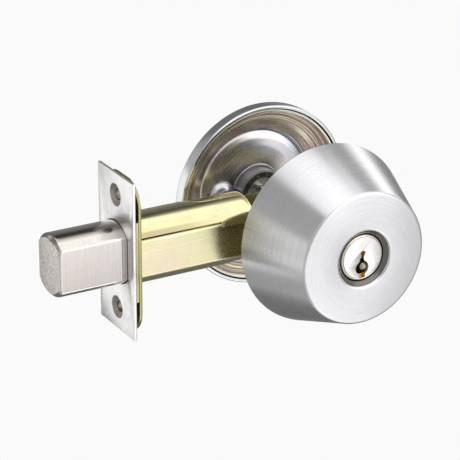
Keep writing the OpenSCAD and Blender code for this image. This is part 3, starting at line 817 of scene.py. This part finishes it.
def build_faceplate():
    plate = block("faceplate_sheet", FACE_LO, FACE_HI)
    bevel(plate, 0.18 * MM, 3)
    boolean(plate, d_hole(X_FACE - MM, FACE_HI.x + MM))
    for s in (-1, 1):
        c = (0, s * SCREW_Z)
        sink = (X_FACE - 0.02 * MM, X_FACE + 1.0 * MM)
        boolean(plate, rod("csk", c, 4.1 * MM, *sink, "X", 2.55 * MM))
        boolean(plate, rod("hole", c, 2.4 * MM, X_FACE - MM, FACE_HI.x + MM, "X"))
    return bevel(plate, 0.05 * MM, 2, 35)


place(build_faceplate(), "faceplate", "stainless", 28)


def build_block():
    lo, hi = BOX["front_block"]
    b = bevel(block("spacer_block", lo, hi), 0.15 * MM, 2)
    return boolean(b, d_hole(lo.x - MM, hi.x + MM))


place(build_block(), "front_block", "block")


def build_backing():
    lo, hi = BOX["backing_plate"]
    sheet_x = BOX["front_block"][1].x
    corners = [(hi.y, hi.z), (-hi.y, hi.z), (-hi.y, lo.z), (hi.y, lo.z)]
    outline = rounded(corners, [9 * MM] * 4, 16)
    plate = prism("backing_sheet", outline, sheet_x, hi.x, "X")
    bevel(plate, 0.15 * MM, 2, 40)
    boolean(plate, d_hole(lo.x - MM, hi.x + MM))
    for s in (-1, 1):
        c = (0, s * SCREW_Z)
        boss = rod("drawn_boss", c, 3.6 * MM, lo.x, sheet_x + 0.5 * MM, "X")
        boolean(plate, boss, "UNION")
        boolean(plate, rod("tap", c, 2.1 * MM, lo.x - MM, hi.x + MM, "X"))
    return plate


place(build_backing(), "backing_plate", "backing")


# ---------------------------------------------------------------- bolt case

TUBE_LO, TUBE_HI = BOX["case_tube"]
SLEEVE_LO, SLEEVE_HI = BOX["case_sleeve"]
CH_LO, CH_HI = BOX["case_channel"]
CASE_R = TUBE_HI.z
CASE_T = 0.8 * MM
DIP_X = SLEEVE_LO.x
# shallower than the wall, so the inside still clears the bolt as it slides back
DIP_DEPTH = 0.7 * MM
DIP_SIDE = math.radians(18)
DIP_HALF = math.radians(28)
def dip(x, phi):
    """How far the tube roof is pressed in at station x and angle phi from the top."""
    fade = 8.5 * MM if x < DIP_X else 7.0 * MM
    along = ease(max(0.0, 1 - abs(x - DIP_X) / fade))
    side = ease(max(0.0, 1 - abs(phi - DIP_SIDE) / DIP_HALF))
    return DIP_DEPTH * along * side


CREASE = math.radians(CREASE_DEG)


def crease_drop(x, phi):
    """Radius change at the fold line of the roof, fading out along the sleeve."""
    off = abs(phi) - CREASE
    fade = ease(min(1.0, max(0.0, (-27 * MM - x) / (7 * MM))))
    groove = 0.16 * MM * math.exp(-((off / math.radians(1.6)) ** 2))
    lean = 0.10 * MM * min(1.0, max(0.0, off) / math.radians(10))
    return fade * (groove - lean)


def build_tube():
    end = math.acos(TUBE_LO.z / CASE_R)
    lip = 0.1 * MM
    x0, x1 = TUBE_LO.x, SLEEVE_LO.x + 0.05 * MM
    steps = 26
    stations = [x0, x0 + lip]
    stations += [x0 + lip + (x1 - x0 - 2 * lip) * i / steps for i in range(1, steps + 1)]
    stations += [x1]
    count = 60
    ri = CASE_R - CASE_T
    sections = []
    for x in stations:
        outer, inner = [], []
        for i in range(count + 1):
            phi = -end + 2 * end * i / count
            r = CASE_R - dip(x, phi) - crease_drop(x, phi)
            if x == x0:
                r -= lip
            outer.append((x, r * math.sin(phi), r * math.cos(phi)))
            inner.append((x, ri * math.sin(phi), ri * math.cos(phi)))
        sections.append(outer + inner[::-1])
    return loft("case_roof", sections)


place(build_tube(), "case_tube", "tube", 40)


def build_sleeve():
    x0, x1 = SLEEVE_LO.x, SLEEVE_HI.x
    z_cut = SLEEVE_LO.z
    end_r = 2.3 * MM
    inner_r = end_r - CASE_T
    top = CASE_R
    # centre of the rolled end in the (x, radius) profile
    cx, cr = x1 - end_r, top - end_r
    profile = [(x0, top - CASE_T), (x0, top)]
    profile += [(x0 + (cx - x0) * i / 9, top) for i in range(1, 9)]
    profile += arc(cx, cr, end_r, 90, 0, 9)
    profile += [(x1, cr - 0.9 * MM), (x1 - 0.25 * MM, cr - 1.15 * MM), (x1 - CASE_T, cr - 1.0 * MM)]
    profile += arc(cx, cr, inner_r, 0, 90, 6)
    count = 72
    sections = []
    for i in range(count + 1):
        t = -1 + 2 * i / count
        ring = []
        for x, r in profile:
            phi = t * math.acos(min(1, z_cut / r))
            rr = r
            if r > top - 0.1 * MM:
                rr -= dip(x, phi) + crease_drop(x, phi)
            ring.append((x, rr * math.sin(phi), rr * math.cos(phi)))
        sections.append(ring)
    return loft("case_end_sleeve", sections)


place(build_sleeve(), "case_sleeve", "sleeve", 40)


def channel_outline():
    a = CH_HI.y
    r = CASE_R
    t = CASE_T
    top = CH_HI.z
    low_z = math.sqrt(r * r - a * a)
    phi0 = math.degrees(math.atan2(-low_z, a))
    bend_w, bend_h = 0.7 * MM, 1.0 * MM
    round_off = 4
    wall = []
    for i in range(7):
        lean = math.radians(90 - 15 * i)
        y = a - bend_w + bend_w * math.cos(lean)
        wall.append((y, top - bend_h + bend_h * math.sin(lean)))
    wall += [(a, -low_z + 0.55 * MM), (a - 0.06 * MM, -low_z + 0.1 * MM)]
    bottom = arc(0, 0, r, phi0 - round_off, -180 - phi0 + round_off, 48)
    outer = wall + bottom + [(-y, z) for y, z in wall[::-1]]
    ai, ri = a - t, r - t
    low_i = math.sqrt(ri * ri - ai * ai)
    psi = math.degrees(math.atan2(-low_i, ai))
    brim = top - 0.5 * MM
    inner = [(-ai, brim)] + arc(0, 0, ri, -180 - psi, psi, 48) + [(ai, brim)]
    return outer + inner


def build_channel():
    obj = prism("case_channel_sheet", channel_outline(), CH_LO.x, CH_HI.x, "X")
    # half width of the open slot in the floor, and a length past every wall
    slot_y = CH_HI.y - CASE_T - 1.3 * MM
    far = 20 * MM
    boolean(obj, block("slot", (-29 * MM, -slot_y, -far), (31 * MM, slot_y, -5 * MM)))
    # room for the sleeve, which stands in the channel's walls
    notch_lo = (SLEEVE_LO.x + 0.08 * MM, -far, SLEEVE_LO.z - 0.15 * MM)
    boolean(obj, block("notch", notch_lo, (SLEEVE_HI.x + 0.15 * MM, far, far)))
    boolean(obj, rod("bore", (0, 0), 5.06 * MM, -far, far, "Y"))
    for s in (-1, 1):
        boolean(obj, rod("screw_hole", (s * 14 * MM, 0), 2.7 * MM, -far, far, "Y"))
    return obj


place(build_channel(), "case_channel", "channel", 40)


# ---------------------------------------------------------------- thumbturn side

TR_LO, TR_HI = BOX["rose_trim"]
ROSE_R = TR_HI.x
Y_IN = TR_LO.y
Y_ROSE = TR_HI.y

def rose_profile(outline, steps):
    """Rounds an outline of (radius, height above the door in mm, corner radius in mm)."""
    points = [(r, Y_IN + h * MM) for r, h, _ in outline]
    return rounded(points, [c * MM for *_, c in outline], steps)


def build_trim():
    wall = 1.2 * MM
    step = Y_IN + 4.6 * MM
    flat_r = 26 * MM
    hole = 10.4 * MM
    outline = [
        # radius, y, corner radius in mm
        (ROSE_R - wall, Y_IN, 0.3),
        (ROSE_R, Y_IN, 0.62),
        (ROSE_R, step, 1.0),
        (flat_r, Y_ROSE, 1.6),
        (hole, Y_ROSE, 0.3),
        (hole, Y_ROSE - wall, 0.3),
        (flat_r - 2.4 * MM, Y_ROSE - wall, 0.5),
        (ROSE_R - wall, step - 0.3 * MM, 0.5),
    ]
    profile = rounded([(r, y) for r, y, _ in outline], [c * MM for *_, c in outline], 7)
    return lathe("rose_cover", profile, 288)


place(build_trim(), "rose_trim", "rose")


def build_ring():
    outer = BOX["rose_plate"][1].x
    inner = 23.1 * MM
    outline = [
        # radius, height, corner radius
        (outer - 1.25 * MM, 0.95, 0.12),
        (outer - 0.85 * MM, 0.45, 0.15),
        (outer - 0.25 * MM, 0.42, 0.15),
        (outer, 0.8, 0.15),
        (outer, 4.7, 0.2),
        (inner + 0.6 * MM, 7.3, 0.2),
        (inner, 7.2, 0.1),
        (inner, 6.7, 0.15),
        (23.6 * MM, 6.2, 0.3),
        (25.3 * MM, 5.6, 0.2),
        (25.6 * MM, 5.05, 0.2),
        (27.3 * MM, 4.55, 0.3),
        (27.75 * MM, 3.85, 0.2),
        (28.25 * MM, 3.8, 0.2),
        (28.6 * MM, 4.25, 0.3),
        (29.5 * MM, 3.75, 0.2),
        (29.85 * MM, 3.1, 0.2),
        (30.25 * MM, 3.05, 0.2),
        (30.6 * MM, 3.2, 0.2),
        (31.0 * MM, 1.9, 0.3),
    ]
    return lathe("rose_ring_plate", rose_profile(outline, 4), 288)


place(build_ring(), "rose_plate", "ring", 50)

BOSS_X = BOX["mounting_screws"][1].x - 4.3 * MM
BUSH_R = BOX["turn_bushing"][1].x


def build_dish():
    bore = BUSH_R + 0.02 * MM
    rim = BOX["turn_dish"][1].x
    outline = [
        # radius, height, corner radius
        (bore, 1.0, 0.2),
        (8.8 * MM, 1.0, 0.25),
        (9.0 * MM, 1.4, 0.3),
        (9.1 * MM, 6.5, 1.1),
        (16.5 * MM, 6.5, 9.0),
        (19.5 * MM, 6.9, 6.0),
        (21.8 * MM, 7.6, 3.0),
        (22.95 * MM, 8.45, 0.5),
        (23.4 * MM, 8.3, 0.3),
        (23.5 * MM, 7.36, 0.1),
        (rim, 7.36, 0.1),
        (rim, 9.1, 0.3),
        (22.4 * MM, 9.9, 0.5),
        (18 * MM, 8.1, 0.5),
        (10 * MM, 8.1, 0.3),
        (10 * MM, 9.8, 0.2),
        (bore, 9.8, 0.1),
    ]
    parts = [lathe("dish", rose_profile(outline, 7), 288)]
    # screw cups: low domes with the screw hole through them
    base = Y_IN + 7.3 * MM
    screw_bore = 2.55 * MM
    cup_r, cup_h = 5.75 * MM, 3.3 * MM
    dome = []
    for i in range(17):
        a = math.radians(4 + 86 * i / 16)
        if cup_r * math.sin(a) > screw_bore:
            dome.append((cup_r * math.sin(a), base - cup_h * math.cos(a)))
    dome = [(screw_bore, dome[0][1] + 0.15 * MM)] + dome + [(screw_bore, base)]
    for s in (-1, 1):
        parts.append(lathe("boss", dome, 96, (s * BOSS_X, 0)))
    # bright rollers showing through the bush cage
    rollers = 12
    half = math.radians(5)
    r_in, r_out = 6.7 * MM, 7.75 * MM
    for i in range(rollers):
        mid = TAU * (i + 0.5) / rollers
        ring = []
        for r, t in ((r_in, -half), (r_in, half), (r_out, half), (r_out, -half)):
            ring.append((r * math.cos(mid + t), r * math.sin(mid + t)))
        parts.append(prism("roller", ring, Y_IN + 1.22 * MM, Y_IN + 2.0 * MM, "Y"))
    return join("turn_dish_casting", parts)


place(build_dish(), "turn_dish", "dish", 40)


# ---------------------------------------------------------------- carried CAD nodes

CARRIED = {
    "spring_cover": "brass",
    "driver_pins": "steel",
    "pin_springs": "spring",
    "support_plate": "plate",
    "mounting_posts": "steel",
    "key_pins": "brass",
    "drill_pin": "dark_steel",
    "plug_cam": "steel",
    "cam_screws": "steel",
    "tailpiece": "steel",
    "crank_hub": "cast",
    "crank_pin": "steel",
    "case_rivets": "steel",
    "detent_spring": "dark_steel",
    "bolt_tail": "tail",
    "tail_pin": "steel",
    "roller_insert": "dark_steel",
    "turn_bushing": "black",
    "turn_spindle": "steel",
    "thumbturn": "turn",
    "turn_clip": "dark_steel",
    "wave_washer": "spring",
    "mounting_screws": "steel",
}
for node, mat in CARRIED.items():
    obj = frame["nodes"][node]
    obj.data.materials.clear()
    obj.data.materials.append(MATS[mat])


# ---------------------------------------------------------------- stage and light

FLOOR_Z = -0.30
FLOOR_HALF = 4
PAGE_GREY = 0.955


def emitter(name, color, strength):
    m = bpy.data.materials.new(name)
    m.use_nodes = True
    t = m.node_tree
    t.nodes.clear()
    out = t.nodes.new("ShaderNodeOutputMaterial")
    em = t.nodes.new("ShaderNodeEmission")
    em.inputs["Color"].default_value = (*color, 1)
    em.inputs["Strength"].default_value = strength
    t.links.new(em.outputs[0], out.inputs["Surface"])
    return m

f = FLOOR_HALF
corners = [(-f, -f, FLOOR_Z), (f, -f, FLOOR_Z), (f, f, FLOOR_Z), (-f, f, FLOOR_Z)]
floor = new_mesh("floor", corners, [(0, 1, 2, 3)])
floor.data.materials.append(emitter("floor_pale", (PAGE_GREY,) * 3, 1.0))
floor.visible_glossy = False
floor.visible_diffuse = False

world = bpy.data.worlds.new("studio")
bpy.context.scene.world = world
world.use_nodes = True
# azimuth of the seam in the sky, in degrees: it lies behind the camera
SPLIT = -120.0
BASE_LIGHT = 0.55

class Sky(Nodes):
    """World light written as soft-edged windows of azimuth and elevation, in degrees."""

    def __init__(self, tree):
        self.tree = tree
        tree.nodes.clear()
        out = self.add("ShaderNodeOutputWorld")
        self.bg = self.add("ShaderNodeBackground")
        self.link(self.bg.outputs[0], out.inputs["Surface"])
        self.coord = self.add("ShaderNodeTexCoord").outputs["Generated"]
        x, y, z = self.xyz()
        az = self.math("MULTIPLY", self.math("ARCTAN2", y, x), 360 / TAU)
        # azimuth runs from SPLIT to SPLIT + 360
        turned = self.math("MODULO", self.math("ADD", az, 720 - SPLIT), 360.0)
        self.az = self.math("ADD", turned, SPLIT)
        self.el = self.math("MULTIPLY", self.math("ARCSINE", z), 360 / TAU)

    def step(self, value, low, high):
        n = self.add("ShaderNodeMapRange", interpolation_type="SMOOTHSTEP")
        self.link(value, n.inputs["Value"])
        n.inputs["From Min"].default_value = low
        n.inputs["From Max"].default_value = high
        return n.outputs[0]

    def between(self, value, low, high, soft):
        """1 from low to high, with edges that fade over the width soft."""
        rise = self.step(value, low - soft / 2, low + soft / 2)
        fall = self.math("SUBTRACT", 1.0, self.step(value, high - soft / 2, high + soft / 2))
        return self.math("MULTIPLY", rise, fall)

    def window(self, az, el, soft_az, soft_el):
        across = self.between(self.az, *az, soft_az)
        return self.math("MULTIPLY", across, self.between(self.el, *el, soft_el))

    def paint(self, under, window, value):
        """Lays a window of the given brightness over what is already there."""
        n = self.add("ShaderNodeMix", data_type="FLOAT")
        self.link(window, n.inputs["Factor"])
        self.put(n.inputs["A"], under)
        n.inputs["B"].default_value = value
        return n.outputs[0]


WINDOWS = [
    # azimuth range, elevation range, softness in azimuth and elevation, brightness
    ((-118, 10), (-50, 40), 30, 20, 0.66),
    ((-120, -80), (-44, -12), 16, 10, 0.92),
    ((-86, -60), (-58, 16), 14, 14, 1.45),
    ((-60, -43), (-58, 16), 14, 14, 0.92),
    ((-80, -36), (-6, 30), 12, 10, 1.85),
    ((-90, -42), (-68, -38), 12, 10, 1.75),
    ((-116, -86), (-14, 22), 12, 10, 0.42),
    ((-43, -4), (-52, -10), 12, 10, 0.36),
    ((-150, -34), (-100, -58), 22, 12, 0.60),
    ((-46, -4), (-100, -52), 14, 10, 0.18),
    ((-6, 130), (-100, -42), 12, 10, 0.16),
    ((46, 112), (-60, 62), 8, 10, 0.17),
    ((52, 66), (34, 54), 10, 10, 0.07),
    ((50, 75), (-6, 14), 10, 8, 0.26),
    ((10, 46), (26, 62), 6, 7, 0.38),
    ((4, 46), (-60, -24), 12, 10, 0.16),
    ((5, 56), (-24, 8), 12, 9, 0.24),
    ((8, 42), (11, 28), 8, 9, 1.7),
    ((112, 176), (-50, 60), 8, 12, 0.37),
    ((146, 205), (-62, -30), 10, 12, 0.45),
    ((112, 150), (8, 26), 8, 8, 0.52),
    ((110, 150), (-34, 8), 8, 8, 1.18),
    ((148, 178), (-24, 16), 16, 12, 0.92),
    ((-150, 44), (54, 100), 10, 8, 1.33),
    ((44, 126), (57, 100), 10, 8, 1.5),
    ((126, 240), (57, 100), 10, 8, 1.33),
    ((-118, 10), (28, 100), 24, 14, 1.26),
]
sky = Sky(world.node_tree)
light = BASE_LIGHT
for az, el, soft_az, soft_el, value in WINDOWS:
    light = sky.paint(light, sky.window(az, el, soft_az, soft_el), value)
sky.link(sky.combine(light, light, light), sky.bg.inputs["Color"])

# ---------------------------------------------------------------- camera

# all from a fit of the camera to outlines measured in the picture
CAM_AXES = ((0.86975, 0.18732, -0.45656), (-0.49349, 0.33476, -0.80275), (0.00246, 0.92350, 0.38359))
CAM_PLACE = (-0.38945, -0.63993, 0.30461)
CAM_LENS = 179.23
CAM_SENSOR = 36

scene = bpy.context.scene
cam_data = bpy.data.cameras.new("camera")
cam = bpy.data.objects.new("camera", cam_data)
scene.collection.objects.link(cam)
cam.matrix_world = Matrix.Translation(CAM_PLACE) @ Matrix(CAM_AXES).to_4x4()
cam_data.sensor_width = CAM_SENSOR
cam_data.lens = CAM_LENS
cam_data.dof.use_dof = False
cam_data.clip_start = 0.05
cam_data.clip_end = 20
scene.camera = cam
scene.view_settings.view_transform = "Standard"
scene.view_settings.look = "None"
